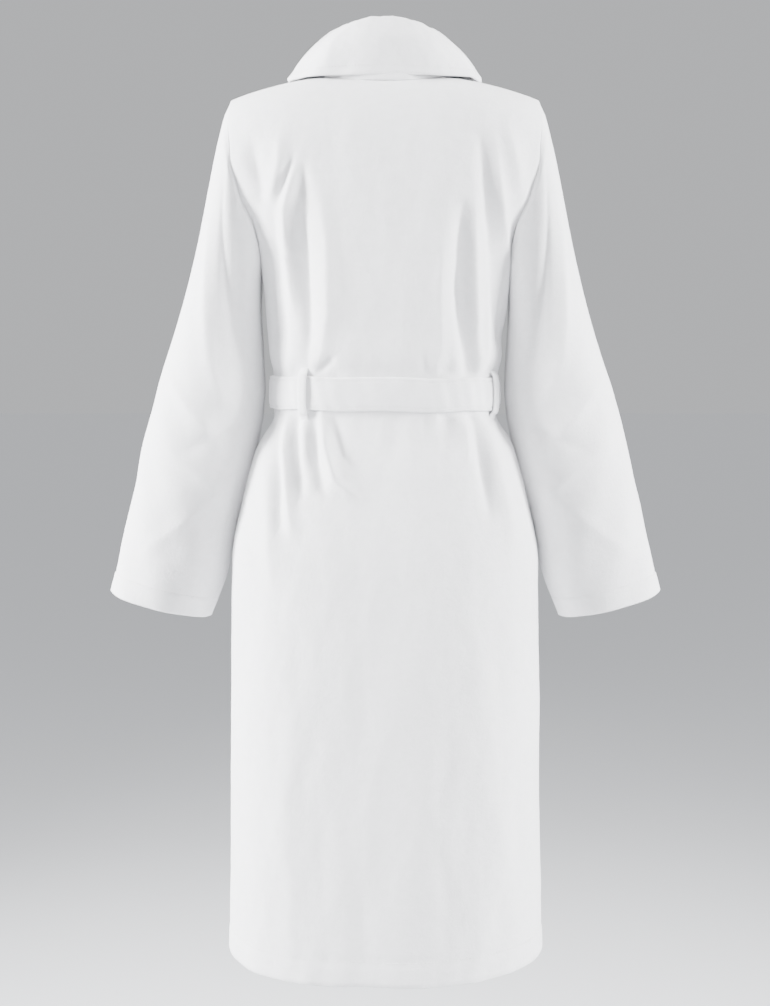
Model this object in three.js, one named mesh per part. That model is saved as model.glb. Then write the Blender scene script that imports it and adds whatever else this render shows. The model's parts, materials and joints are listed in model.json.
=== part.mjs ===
// A shawl-collar bathrobe with a tied belt, hanging as if worn, front towards -Y.
// The origin is midway between the two neck points, where a form or hanger holds the robe.
// Millimetres, +Z up, the wearer's left is +X.
import * as THREE from "three";
import { mergeVertices } from "three/addons/utils/BufferGeometryUtils.js";

// ---- driving dimensions ----
const CLOTH = 5; // thickness of the pile cloth and its lining layer
const GAP = 0.8; // clearance between pieces sewn edge to edge

const HEM_Z = -1088;
const HEM_TURN = 28; // height of the turned and stitched hem
const SECTION_POWER = 2.4; // roundness of the body's horizontal sections

const DOME_HEIGHT = 100; // height over which the shoulders round over
const DOME_ARC = 150; // length given to that rounding along the cloth
const DOME_POWER = 2.5;
const NECK_HALF = 75; // neck point to centre line
const NECK_DROP = 0.34; // share of the dome arc cut away at the centre back
const SHOULDER_HALF = 198;
const SHOULDER_DROP = 27;

const ARMHOLE_RADIUS = 115; // half the armhole's height
const ARMHOLE_REACH = 70; // half the armhole's depth, front to back
const SLEEVE_TILT = THREE.MathUtils.degToRad(14);
const SLEEVE_LENGTH = 640;
const SLEEVE_GAP = 7; // from the armhole's edge to the sleeve head
const SLEEVE_Y_AT_CUFF = -14;
const CUFF_TURN = 25;

const BELT_Z = -397;
const BELT_WIDTH = 40;
const BELT_THICK = 4;
const WAIST_LOW = BELT_Z - BELT_WIDTH / 2 - 4; // the belt draws the robe in between these heights
const WAIST_HIGH = BELT_Z + BELT_WIDTH / 2 + 4;
const BELT_OFF = 3;
const KNOT_X = -30;
const TAIL_LENGTH = 410;
const TAIL_WIDTH = 38;

const OVERLAP_SINK = 9; // how far the under front lies below the over front

const POCKET_WIDTH = 80;
const POCKET_X = 130; // pocket's middle, out from the centre line
const POCKET_TOP = -520;
const POCKET_FOOT = -690;
const POCKET_BAND = 26;
const POCKET_PUFF = 13;

// ---- smooth curves through a few key sizes ----
function through(keys) {
  const at = keys.map((key) => key[0]);
  const value = keys.map((key) => key[1]);
  const last = at.length - 1;
  const rise = at.slice(1).map((x, i) => (value[i + 1] - value[i]) / (x - at[i]));
  const slope = at.map((x, i) => {
    if (i === 0) return rise[0];
    if (i === last) return rise[last - 1];
    return rise[i - 1] * rise[i] <= 0 ? 0 : (2 * rise[i - 1] * rise[i]) / (rise[i - 1] + rise[i]);
  });
  return (x) => {
    if (x <= at[0]) return value[0];
    if (x >= at[last]) return value[last];
    const i = at.findIndex((start, k) => k < last && x >= start && x < at[k + 1]);
    const span = at[i + 1] - at[i];
    const t = (x - at[i]) / span;
    const near = (1 + 2 * t) * (1 - t) ** 2 * value[i] + t * (1 - t) ** 2 * span * slope[i];
    const far = t * t * (3 - 2 * t) * value[i + 1] + t * t * (t - 1) * span * slope[i + 1];
    return near + far;
  };
}

// half-width and half-depths of the robe's body by height
const halfWidth = through([
  [HEM_Z, 196], [-610, 194], [-533, 181], [-470, 164], [WAIST_LOW, 140], [WAIST_HIGH, 140],
  [-330, 147], [-230, 158], [-190, 175], [-150, 206], [-100, 225], [-60, 223], [-20, 215],
  [-5, 208], [0, 197],
]);
const backDepth = through([
  [HEM_Z, 160], [-610, 138], [-500, 116], [WAIST_LOW, 94], [WAIST_HIGH, 94], [-330, 102],
  [-260, 110], [-150, 112], [-60, 106], [0, 104],
]);
const frontDepth = through([
  [HEM_Z, 160], [-500, 118], [WAIST_LOW, 103], [WAIST_HIGH, 103], [-330, 111], [-240, 122],
  [-150, 116], [-60, 106], [0, 104],
]);

// x of the over front's free edge by height; the under front mirrors it
const overEdge = through([
  [HEM_Z, 86], [-600, 82], [-430, 62], [-380, 45], [-260, -5], [-130, -45], [0, -NECK_HALF],
]);
const lapelWidth = through([[-385, 26], [-330, 44], [-220, 72], [-110, 84], [-35, 74]]);

// ---- the body surface ----
const clamp = THREE.MathUtils.clamp;
const lerp = THREE.MathUtils.lerp;
const smooth = THREE.MathUtils.smoothstep;
const QUARTER = Math.PI / 2;

// Along the cloth, `rise` counts millimetres from the dome's foot: negative below, up to
// DOME_ARC on the shoulder ridge.
function heightAt(rise) {
  if (rise < 0) return rise - DOME_HEIGHT;
  const share = Math.sin((rise / DOME_ARC) * QUARTER) ** (2 / DOME_POWER);
  return -DOME_HEIGHT * (1 - share);
}

function riseAt(height) {
  if (height < -DOME_HEIGHT) return height + DOME_HEIGHT;
  const share = clamp(1 + height / DOME_HEIGHT, 0, 1);
  return (Math.asin(share ** (DOME_POWER / 2)) / QUARTER) * DOME_ARC;
}

function depthAt(rise, face) {
  const full = face > 0 ? backDepth(heightAt(rise)) : frontDepth(heightAt(rise));
  const share = Math.max(Math.cos((Math.max(rise, 0) / DOME_ARC) * QUARTER), 0);
  return full * share ** (2 / DOME_POWER);
}

// `across` runs from 0 on the centre line to 1 at the side, signed like x
function bodyPoint(across, rise, face) {
  const height = heightAt(rise);
  const turn = clamp(Math.abs(across), 0, 1) * QUARTER;
  const x = Math.sign(across) * halfWidth(height) * Math.sin(turn) ** (2 / SECTION_POWER);
  const y = face * depthAt(rise, face) * Math.max(Math.cos(turn), 0) ** (2 / SECTION_POWER);
  const along = clamp((Math.abs(x) - NECK_HALF) / (SHOULDER_HALF - NECK_HALF), 0, 1.3);
  return new THREE.Vector3(x, y, height - SHOULDER_DROP * along * smooth(height, -170, 0));
}

function bodyNormal(across, rise, face) {
  const step = 0.012;
  const a = clamp(across, -1 + step, 1 - step);
  const r = Math.min(rise, DOME_ARC - 2);
  const sideways = bodyPoint(a + step, r, face).sub(bodyPoint(a - step, r, face));
  const upward = bodyPoint(a, r + 2, face).sub(bodyPoint(a, r - 2, face));
  const normal = sideways.cross(upward).normalize();
  return normal.multiplyScalar(normal.y * face + normal.z * 0.2 < 0 ? -1 : 1);
}

function acrossAt(x, height) {
  const share = clamp(Math.abs(x) / halfWidth(height), 0, 1);
  return (Math.sign(x) * Math.asin(share ** (SECTION_POWER / 2))) / QUARTER;
}

// how far across the body a panel reaches before its side seam or armhole
function sideEdge(rise, face) {
  const height = heightAt(rise);
  if (height <= -2 * ARMHOLE_RADIUS) return 1;
  const lean = clamp(1 + height / ARMHOLE_RADIUS, -1, 1);
  const y = ARMHOLE_REACH * Math.sqrt(1 - lean * lean);
  const depth = Math.max(depthAt(rise, face), 1e-6);
  const share = clamp(y / depth, 0, 1);
  return Math.acos(share ** (SECTION_POWER / 2)) / QUARTER;
}

// ---- closed solids from grids ----
const round = (value) => Math.round(value * 1e6) / 1e6;

function finish(geometry, place) {
  geometry.deleteAttribute("normal");
  geometry.deleteAttribute("uv");
  const position = geometry.attributes.position;
  for (let i = 0; i < position.count; i++) {
    const p = place(position.getX(i), position.getY(i), position.getZ(i));
    position.setXYZ(i, p.x, p.y, p.z);
  }
  const merged = mergeVertices(geometry, 1e-3);
  if (signedVolume(merged) < 0) merged.index.array.reverse();
  merged.computeVertexNormals();
  return merged;
}

function signedVolume(geometry) {
  const position = geometry.attributes.position;
  const corners = [0, 1, 2].map(() => new THREE.Vector3());
  let volume = 0;
  for (let i = 0; i < geometry.index.count; i += 3) {
    corners.forEach((corner, k) => corner.fromBufferAttribute(position, geometry.index.getX(i + k)));
    volume += corners[0].dot(corners[1].clone().cross(corners[2])) / 6;
  }
  return volume;
}

// a sheet: place(c, r, w) with c and r from 0 to 1 over it, w from 0 inside to 1 outside
function sheet(columns, rows, place) {
  const box = new THREE.BoxGeometry(1, 1, 1, columns, rows, 1);
  return finish(box, (x, y, z) => place(round(x + 0.5), round(y + 0.5), round(z + 0.5)));
}

// a tube: place(turn, r, w) with turn in radians around it
function tube(segments, rows, place) {
  const wall = [];
  for (let i = 0; i <= rows; i++) wall.push(new THREE.Vector2(1, i / rows));
  for (let i = rows; i >= 0; i--) wall.push(new THREE.Vector2(2, i / rows));
  wall.push(wall[0].clone());
  const lathe = new THREE.LatheGeometry(wall, segments);
  return finish(lathe, (x, y, z) => {
    const slice = Math.round((Math.atan2(x, z) / (2 * Math.PI)) * segments);
    const turn = (((slice + segments) % segments) / segments) * 2 * Math.PI;
    return place(turn, round(y), Math.round(Math.hypot(x, z)) - 1);
  });
}

// ---- the scene graph ----
const robe = new THREE.Group();
const white = { color: 0xf4f4f6, roughness: 0.95, metalness: 0 };

function add(name, geometry, look = white) {
  const mesh = new THREE.Mesh(geometry, new THREE.MeshStandardMaterial(look));
  mesh.name = name;
  robe.add(mesh);
  return mesh;
}

// ---- back and fronts ----
const FOOT_RISE = HEM_Z + DOME_HEIGHT;
const HEM_RISE = FOOT_RISE + HEM_TURN;
const DOME_ROWS = 6;

function steps(from, to, count) {
  return Array.from({ length: count }, (_, i) => lerp(from, to, i / count));
}

const LEVELS = [
  ...steps(HEM_Z + HEM_TURN, -500, 10), -500, -460, WAIST_LOW, WAIST_HIGH, ...steps(-345, -DOME_HEIGHT, 7),
];
const PANEL_ROWS = LEVELS.length + DOME_ROWS;

// rise of a panel's point: rows below the dome are level, rows above are scaled to its top
function panelRise(share, top) {
  const row = Math.round(share * PANEL_ROWS);
  return row < LEVELS.length ? LEVELS[row] + DOME_HEIGHT : (top * (row - LEVELS.length)) / DOME_ROWS;
}

function backPanel() {
  const neckAcross = acrossAt(NECK_HALF, 0);
  return sheet(18, PANEL_ROWS, (c, r, w) => {
    const side = 2 * c - 1;
    const across = side * (sideEdge(DOME_ARC - 2, 1) - 0.004);
    const inNeck = Math.max(0, 1 - (across / neckAcross) ** 2);
    const top = (DOME_ARC - 2) * (1 - NECK_DROP * Math.sqrt(inNeck));
    const rise = panelRise(r, top);
    const reach = sideEdge(rise, 1) - 0.004;
    const at = side * reach;
    return bodyPoint(at, rise, 1).addScaledVector(bodyNormal(at, rise, 1), (w - 1) * CLOTH);
  });
}

// depth below the over front at which the under front runs
function sinkAt(x, height) {
  const edge = overEdge(height);
  const under = 1 - smooth(x, edge + 4, edge + 34);
  return OVERLAP_SINK * under * (1 - smooth(height, -285, -215));
}

// side is -1 for the wearer's right, the over front, and 1 for the under front
function frontPoint(side, x, rise, lift) {
  const height = heightAt(rise);
  const across = acrossAt(x, height);
  const sink = side > 0 ? sinkAt(x, height) : 0;
  const normal = bodyNormal(across, rise, -1);
  return bodyPoint(across, rise, -1).addScaledVector(normal, lift - sink);
}

function frontPanel(side) {
  return sheet(12, PANEL_ROWS, (c, r, w) => {
    const rise = panelRise(r, DOME_ARC - 2);
    const height = heightAt(rise);
    const seam = side * (sideEdge(rise, -1) - 0.004);
    const edge = acrossAt(-side * overEdge(height), height);
    const x = bodyPoint(lerp(seam, edge, c), rise, -1).x;
    return frontPoint(side, x, rise, (w - 1) * CLOTH);
  });
}

// turned hems, one storey below their panels
function hem(columns, place) {
  return sheet(columns, 1, (c, r, w) => {
    const rise = lerp(FOOT_RISE, HEM_RISE - GAP, r);
    return place(c, rise, (w - 1) * (CLOTH + 1.5));
  });
}

function backHem(c, rise, lift) {
  const across = (2 * c - 1) * 0.996;
  return bodyPoint(across, rise, 1).addScaledVector(bodyNormal(across, rise, 1), lift);
}

function frontHem(side, from, to) {
  const start = acrossAt(from, HEM_Z);
  const end = acrossAt(to, HEM_Z);
  return (c, rise, lift) => frontPoint(side, bodyPoint(lerp(start, end, c), rise, -1).x, rise, lift);
}

add("back_panel", backPanel());
add("right_front_panel", frontPanel(-1));
add("left_front_panel", frontPanel(1));
const SEAM_X = bodyPoint(0.996, FOOT_RISE, -1).x;
add("back_hem", hem(18, backHem));
add("right_front_hem", hem(12, frontHem(-1, -SEAM_X, overEdge(HEM_Z))));
add("left_front_hem", hem(12, frontHem(1, -overEdge(HEM_Z), SEAM_X)));

// ---- shawl collar: a stand that rises from the neck seam, a fall, and two lapels ----
const COLLAR_TURN = THREE.MathUtils.degToRad(122); // from the centre back to each front end
const SEAM_RING = { x: NECK_HALF - 1, y: 60 };
const ROLL_RING = { x: 62, y: 52 };
const FALL_RING = { x: 127, y: 80 };

function ring(size, turn, z) {
  return new THREE.Vector3(size.x * Math.sin(turn), size.y * Math.cos(turn), z);
}

function seamPoint(turn) {
  return ring(SEAM_RING, turn, 1.5 - 5 * Math.cos(turn) ** 2);
}

function rollPoint(turn) {
  const forward = Math.max(0, -Math.cos(turn));
  return ring(ROLL_RING, turn, 69 - 5 * Math.sin(turn) ** 2 - 62 * forward ** 1.5);
}

function fallPoint(turn) {
  const forward = Math.max(0, -Math.cos(turn));
  return ring(FALL_RING, turn, 5 - 8 * Math.cos(turn) ** 2 * (forward ? 2.5 : 1));
}

function collarStand() {
  return sheet(20, 3, (c, r, w) => {
    const turn = (2 * c - 1) * COLLAR_TURN;
    const foot = seamPoint(turn);
    const top = rollPoint(turn).setZ(rollPoint(turn).z - 7);
    const outward = new THREE.Vector3(Math.sin(turn), Math.cos(turn), 0);
    return foot.lerp(top, r).addScaledVector(outward, (w - 1) * CLOTH);
  });
}

function collarFall() {
  return sheet(24, 4, (c, r, w) => {
    const turn = (2 * c - 1) * COLLAR_TURN;
    const outward = new THREE.Vector3(Math.sin(turn), Math.cos(turn), 0.6).normalize();
    const bulge = 9 * Math.sin(Math.PI * r);
    const at = rollPoint(turn).lerp(fallPoint(turn), r);
    return at.addScaledVector(outward, 4 + bulge + w * CLOTH);
  });
}

// a lapel lies on its front panel, from the panel's free edge outwards
function lapel(side) {
  return sheet(4, 14, (c, r, w) => {
    const height = lerp(side > 0 ? -316 : -372, -38, r);
    const rise = riseAt(height);
    const roll = -side * overEdge(height);
    const outer = roll + side * lapelWidth(height);
    const visible = side > 0 ? Math.max(roll, overEdge(height) + 6) : roll;
    const inner = side > 0 ? Math.min(visible, outer - 4) : visible;
    return frontPoint(side, lerp(inner, outer, c), rise, 3 + w * CLOTH);
  });
}

add("collar_stand", collarStand());
add("collar_fall", collarFall());
add("right_lapel", lapel(-1));
add("left_lapel", lapel(1));

// ---- neck tape, hanging loop and blank care label, inside the back neck ----
function block(size, at, turn = [0, 0, 0]) {
  const box = new THREE.BoxGeometry(...size);
  box.applyMatrix4(new THREE.Matrix4().makeRotationFromEuler(new THREE.Euler(...turn)));
  box.translate(...at);
  return finish(box, (x, y, z) => new THREE.Vector3(x, y, z));
}

const NECK_TAPE_Y = 50;
const LOOP_WIDTH = 70;
const LOOP_DROP = 42;
const LOOP_BAND = 6;
const LOOP_Y = 42;
const LOOP_TOP_Z = -18;

function neckTape() {
  return sheet(10, 1, (c, r, w) => {
    const turn = (2 * c - 1) * 0.75;
    const size = { x: 64, y: NECK_TAPE_Y + 1.5 * w };
    return ring(size, turn, lerp(-16, -2, r));
  });
}

// a flat loop of tape whose two ends are sewn under the neck tape
function hangingLoop() {
  const outline = new THREE.Shape();
  const outer = LOOP_WIDTH / 2;
  const inner = outer - LOOP_BAND;
  outline.moveTo(-outer, 0);
  outline.absellipse(0, 0, outer, LOOP_DROP, Math.PI, 2 * Math.PI, false);
  outline.lineTo(inner, 0);
  outline.absellipse(0, 0, inner, LOOP_DROP - LOOP_BAND, 0, -Math.PI, true);
  outline.closePath();
  const loop = new THREE.ExtrudeGeometry(outline, { depth: 1.6, bevelEnabled: false, curveSegments: 12 });
  return finish(loop, (x, y, z) => new THREE.Vector3(x, LOOP_Y + z, LOOP_TOP_Z + y));
}

add("neck_tape", neckTape());
add("hanging_loop", hangingLoop());
add("care_label", block([26, 0.8, 38], [0, NECK_TAPE_Y + 6, -42]), { ...white, roughness: 0.7 });

// ---- shoulder tapes: flat reinforcement under each shoulder seam, where a hanger bears ----
const SHOULDER_SLOPE = Math.atan2(SHOULDER_DROP, SHOULDER_HALF - NECK_HALF);

for (const [name, side] of [["right_shoulder_tape", -1], ["left_shoulder_tape", 1]]) {
  const middle = 132;
  const z = -SHOULDER_DROP * ((middle - NECK_HALF) / (SHOULDER_HALF - NECK_HALF)) - CLOTH - 4;
  add(name, block([92, 13, 1.6], [side * middle, 0, z], [0, side * SHOULDER_SLOPE, 0]));
}

// ---- belt, knot, tails and loops ----
function beltPoint(turn, lift) {
  const height = BELT_Z;
  const face = Math.sin(turn) >= 0 ? 1 : -1;
  const depth = (face > 0 ? backDepth(height) : frontDepth(height)) + lift;
  const width = halfWidth(height) + lift;
  const x = width * Math.sign(Math.cos(turn)) * Math.abs(Math.cos(turn)) ** (2 / SECTION_POWER);
  const y = depth * Math.sign(Math.sin(turn)) * Math.abs(Math.sin(turn)) ** (2 / SECTION_POWER);
  return new THREE.Vector3(x, y, height);
}

function belt() {
  return tube(40, 1, (turn, r, w) => {
    const at = beltPoint(turn, BELT_OFF + w * BELT_THICK);
    return at.setZ(BELT_Z + BELT_WIDTH * (r - 0.5));
  });
}

const KNOT = { x: 27, y: 15, z: 27 };
const FRONT_Y = -(frontDepth(BELT_Z) + BELT_OFF + BELT_THICK);
const KNOT_Y = FRONT_Y - KNOT.y - 2;

function knot() {
  const ball = new THREE.SphereGeometry(1, 14, 10);
  const power = (value) => Math.sign(value) * Math.abs(value) ** 0.75;
  return finish(ball, (x, y, z) => {
    const size = new THREE.Vector3(power(x) * KNOT.x, power(y) * KNOT.y, power(z) * KNOT.z);
    return size.add(new THREE.Vector3(KNOT_X, KNOT_Y, BELT_Z));
  });
}

const TAIL_TOP_Z = BELT_Z - KNOT.z - 2;
const TAIL_TOP_Y = FRONT_Y - 12;
const SKIRT_SLOPE = Math.atan2(frontDepth(HEM_Z) - frontDepth(-430), -430 - HEM_Z);

// a tail lies along the skirt's slope and leans a little outwards
function tail(x, lean, length, proud) {
  const box = new THREE.BoxGeometry(TAIL_WIDTH, BELT_THICK, length, 1, 1, 8);
  box.translate(0, 0, -length / 2);
  box.rotateX(-SKIRT_SLOPE);
  box.rotateY(lean);
  box.translate(x, TAIL_TOP_Y - proud, TAIL_TOP_Z);
  return finish(box, (px, py, pz) => new THREE.Vector3(px, py, pz));
}

add("belt", belt(), { ...white, roughness: 0.9 });
add("belt_knot", knot(), { ...white, roughness: 0.9 });
add("right_belt_tail", tail(KNOT_X - 24, 0.06, TAIL_LENGTH, 0));
add("left_belt_tail", tail(KNOT_X + 22, -0.05, TAIL_LENGTH - 25, 0));

// a loop of cloth that bridges the belt, with its two feet on the robe
function beltLoop(x) {
  const reach = BELT_OFF + BELT_THICK + 2.5;
  const half = BELT_WIDTH / 2 + 3;
  const band = 3;
  const outline = new THREE.Shape();
  outline.moveTo(1.5, -half - band);
  outline.lineTo(reach + band, -half - band);
  outline.lineTo(reach + band, half + band);
  outline.lineTo(1.5, half + band);
  outline.lineTo(1.5, half);
  outline.lineTo(reach, half);
  outline.lineTo(reach, -half);
  outline.lineTo(1.5, -half);
  outline.closePath();
  const strap = new THREE.ExtrudeGeometry(outline, { depth: 9, bevelEnabled: false });
  const across = acrossAt(x, BELT_Z);
  const at = bodyPoint(across, riseAt(BELT_Z), 1);
  const out = bodyNormal(across, riseAt(BELT_Z), 1).setZ(0).normalize();
  const tangent = new THREE.Vector3(-out.y, out.x, 0);
  return finish(strap, (px, py, pz) => {
    const point = at.clone().addScaledVector(out, px).addScaledVector(tangent, pz - 4.5);
    return point.setZ(BELT_Z + py);
  });
}

add("left_belt_loop", beltLoop(97));
add("right_belt_loop", beltLoop(-130));

// ---- patch pockets, puffed off the fronts so that a hand goes in ----
function pocket(side, low, high, extra) {
  return sheet(8, 6, (c, r, w) => {
    const height = lerp(low, high, r);
    const x = side * (POCKET_X + POCKET_WIDTH * (c - 0.5));
    const down = (height - POCKET_FOOT) / (POCKET_TOP - POCKET_FOOT);
    const puff = POCKET_PUFF * Math.sin(Math.PI * c) ** 0.6 * Math.sqrt(Math.min(1, down * 2.5));
    return frontPoint(side, x, riseAt(height), 2.5 + puff + w * (3.5 + extra));
  });
}

for (const [name, side] of [["right_pocket", -1], ["left_pocket", 1]]) {
  add(name, pocket(side, POCKET_FOOT, POCKET_TOP - POCKET_BAND - GAP, 0));
  add(`${name}_band`, pocket(side, POCKET_TOP - POCKET_BAND, POCKET_TOP, 1.5));
}

// ---- sleeves: tubes from the armhole edge to the cuff ----
const sleeveCentreX = through([[0, 199], [0.14, 205], [0.3, 218], [0.44, 236], [0.65, 257], [1, 286]]);
const sleeveHalfWidth = through([[0, 52], [0.14, 56], [0.3, 65], [0.65, 62], [1, 66]]);
const sleeveHalfDepth = through([[0, 82], [0.3, 80], [0.6, 70], [1, 58]]);
const SLEEVE_TOP_Z = -262;
const CUFF_Z = -665;

function armholePoint(turn, side) {
  const height = -ARMHOLE_RADIUS * (1 - Math.cos(turn));
  const face = Math.sin(turn) >= 0 ? 1 : -1;
  const rise = Math.min(riseAt(height), DOME_ARC - 2);
  const across = side * Math.min(sideEdge(rise, face), 1);
  return { at: bodyPoint(across, rise, face), out: bodyNormal(across, rise, face) };
}

function sleevePoint(turn, along, side) {
  const z = lerp(SLEEVE_TOP_Z, CUFF_Z, along);
  const outward = new THREE.Vector3(side * Math.cos(SLEEVE_TILT), 0, Math.sin(SLEEVE_TILT));
  const centre = new THREE.Vector3(side * sleeveCentreX(along), SLEEVE_Y_AT_CUFF * along, z);
  centre.addScaledVector(outward, sleeveHalfWidth(along) * Math.cos(turn));
  return centre.add(new THREE.Vector3(0, sleeveHalfDepth(along) * Math.sin(turn), 0));
}

function sleeveSurface(turn, along, side) {
  const start = armholePoint(turn, side).at.add(new THREE.Vector3(side * SLEEVE_GAP, 0, 0));
  const blend = smooth(along, -0.12, 0.3);
  const gone = new THREE.Vector3(side * Math.sin(SLEEVE_TILT), 0, -Math.cos(SLEEVE_TILT));
  start.addScaledVector(gone, along * SLEEVE_LENGTH * 0.35);
  const first = smooth(0, -0.12, 0.3);
  return start.lerp(sleevePoint(turn, along, side), (blend - first) / (1 - first));
}

function sleeveNormal(turn, along, side) {
  const step = 0.02;
  const a = clamp(along, step, 1 - step);
  const around = sleeveSurface(turn + step, a, side).sub(sleeveSurface(turn - step, a, side));
  const down = sleeveSurface(turn, a + step, side).sub(sleeveSurface(turn, a - step, side));
  const normal = around.cross(down).normalize();
  const centre = sleevePoint(0, a, side).add(sleevePoint(Math.PI, a, side)).multiplyScalar(0.5);
  const outward = sleeveSurface(turn, a, side).sub(centre);
  if (normal.dot(outward) < 0) normal.negate();
  return normal.lerp(armholePoint(turn, side).out, 1 - smooth(along, 0, 0.1)).normalize();
}

const CUFF_SHARE = CUFF_TURN / 420;

function sleevePart(side, from, to, rows, thick) {
  return tube(20, rows, (turn, r, w) => {
    const along = lerp(from, to, r);
    const normal = sleeveNormal(turn, along, side);
    return sleeveSurface(turn, along, side).addScaledVector(normal, (w - 1) * thick);
  });
}

for (const [name, side] of [["right", -1], ["left", 1]]) {
  add(`${name}_sleeve`, sleevePart(side, 0, 1 - CUFF_SHARE - 0.002, 13, CLOTH));
  add(`${name}_cuff`, sleevePart(side, 1 - CUFF_SHARE, 1, 1, CLOTH + 1.5));
}

export default robe;
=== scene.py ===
"""A white shawl-collar bathrobe, tied and filled as if worn, seen from behind in a plain studio.

Metres, +Z up, the robe's front faces -Y and the wearer's left is +X. The origin is midway between
the two neck points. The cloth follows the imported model's body and adds folds, gathers, hems and
stitches.
"""

import json
import math

import bpy
import numpy as np
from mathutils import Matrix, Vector


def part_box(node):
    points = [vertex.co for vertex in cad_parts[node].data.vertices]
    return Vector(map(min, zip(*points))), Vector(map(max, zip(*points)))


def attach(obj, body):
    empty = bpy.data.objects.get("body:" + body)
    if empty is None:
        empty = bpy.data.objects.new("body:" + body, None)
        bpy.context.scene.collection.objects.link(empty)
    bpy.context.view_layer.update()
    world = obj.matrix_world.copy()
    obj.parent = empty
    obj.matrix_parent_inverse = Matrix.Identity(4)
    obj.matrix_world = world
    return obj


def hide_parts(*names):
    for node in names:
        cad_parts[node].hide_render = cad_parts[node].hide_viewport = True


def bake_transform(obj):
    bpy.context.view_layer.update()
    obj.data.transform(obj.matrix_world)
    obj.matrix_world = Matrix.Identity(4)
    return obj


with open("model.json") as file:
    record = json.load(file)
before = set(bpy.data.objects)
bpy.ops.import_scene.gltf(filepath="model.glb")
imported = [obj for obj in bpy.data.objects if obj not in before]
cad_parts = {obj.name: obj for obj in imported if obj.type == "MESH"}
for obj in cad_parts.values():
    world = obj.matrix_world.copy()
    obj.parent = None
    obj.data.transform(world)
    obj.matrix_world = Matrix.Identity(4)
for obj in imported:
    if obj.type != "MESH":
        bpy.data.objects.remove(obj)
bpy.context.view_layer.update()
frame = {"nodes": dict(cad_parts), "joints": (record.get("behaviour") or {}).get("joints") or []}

# ---- sizes from the frame ----
HEM_LOW, HEM_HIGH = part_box("back_hem")
BELT_LOW, BELT_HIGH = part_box("belt")
JOINTS = {joint["name"]: joint for joint in frame["joints"]}

HEM_Z = HEM_LOW[2]
BELT_Z = (BELT_LOW[2] + BELT_HIGH[2]) / 2
BELT_HALF = (BELT_HIGH[2] - BELT_LOW[2]) / 2
WAIST_LOW = BELT_Z - BELT_HALF - 0.004
WAIST_HIGH = BELT_Z + BELT_HALF + 0.004
SKIRT_HALF = HEM_HIGH[0]
SKIRT_DEPTH = HEM_HIGH[1]

# ---- the pattern's own sizes ----
CLOTH = 0.0032  # one layer of pile cloth
DOUBLE = 0.0042  # two layers sewn together, as in the belt and collar
HEM_TURN = 0.028
CUFF_TURN = 0.025
GROOVE = 0.0009  # how deep a line of stitches sinks into the cloth
FOLD_GAP = 0.0004  # between a panel and the inner layer of its turned edge
FOLD_SHARE = 0.7  # that layer's thickness, as a share of the panel's
SEAM_SHARE = 0.9995  # panels stop just short of the seam lines that they share
SECTION_POWER = 2.4
DOME_HEIGHT = 0.100
DOME_ARC = 0.150
DOME_POWER = 2.5
NECK_HALF = 0.075
NECK_DROP = 0.34
SHOULDER_HALF = 0.198
SHOULDER_DROP = 0.027
SHOULDER_ROUND = 1.5  # the shoulder line falls faster towards the sleeve
ARMHOLE_RADIUS = 0.115
ARMHOLE_REACH = 0.070
QUARTER = math.pi / 2
SIDES = ((-1, "right"), (1, "left"))  # the wearer's


def through(*keys):
    """A smooth curve through (place, value) keys that never overshoots them."""
    at = np.array([key[0] for key in keys])
    value = np.array([key[1] for key in keys])
    rise = np.diff(value) / np.diff(at)
    slope = np.concatenate(([rise[0]], np.zeros(len(rise) - 1), [rise[-1]]))
    for i in range(1, len(rise)):
        if rise[i - 1] * rise[i] > 0:
            slope[i] = 2 * rise[i - 1] * rise[i] / (rise[i - 1] + rise[i])

    def curve(x):
        x = np.clip(x, at[0], at[-1])
        i = np.clip(np.searchsorted(at, x, side="right") - 1, 0, len(rise) - 1)
        span = at[i + 1] - at[i]
        t = (x - at[i]) / span
        near = (1 + 2 * t) * (1 - t) ** 2 * value[i] + t * (1 - t) ** 2 * span * slope[i]
        return near + t * t * (3 - 2 * t) * value[i + 1] + t * t * (t - 1) * span * slope[i + 1]

    return curve


def smooth(x, low, high):
    t = np.clip((x - low) / (high - low), 0, 1)
    return t * t * (3 - 2 * t)


def lerp(a, b, t):
    return a + (b - a) * t


half_width = through(
    (HEM_Z, SKIRT_HALF), (-0.610, 0.194), (-0.533, 0.181), (-0.470, 0.164), (WAIST_LOW, 0.140),
    (WAIST_HIGH, 0.140), (-0.330, 0.147), (-0.230, 0.158), (-0.190, 0.175), (-0.150, 0.206),
    (-0.100, 0.225), (-0.060, 0.223), (-0.020, 0.215), (-0.005, 0.208), (0, 0.197))
back_depth = through(
    (HEM_Z, SKIRT_DEPTH), (-0.610, 0.138), (-0.500, 0.116), (WAIST_LOW, 0.094), (WAIST_HIGH, 0.094),
    (-0.330, 0.102), (-0.260, 0.110), (-0.150, 0.112), (-0.060, 0.106), (0, 0.104))
front_depth = through(
    (HEM_Z, SKIRT_DEPTH), (-0.500, 0.118), (WAIST_LOW, 0.103), (WAIST_HIGH, 0.103), (-0.330, 0.111),
    (-0.240, 0.122), (-0.150, 0.116), (-0.060, 0.106), (0, 0.104))
over_edge = through(
    (HEM_Z, 0.086), (-0.600, 0.082), (-0.430, 0.062), (-0.380, 0.045), (-0.260, -0.005),
    (-0.130, -0.045), (0, -NECK_HALF))
lapel_width = through(
    (-0.400, 0.022), (-0.330, 0.044), (-0.220, 0.072), (-0.150, 0.080), (-0.100, 0.0755),
    (-0.060, 0.063), (-0.035, 0.058))


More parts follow.
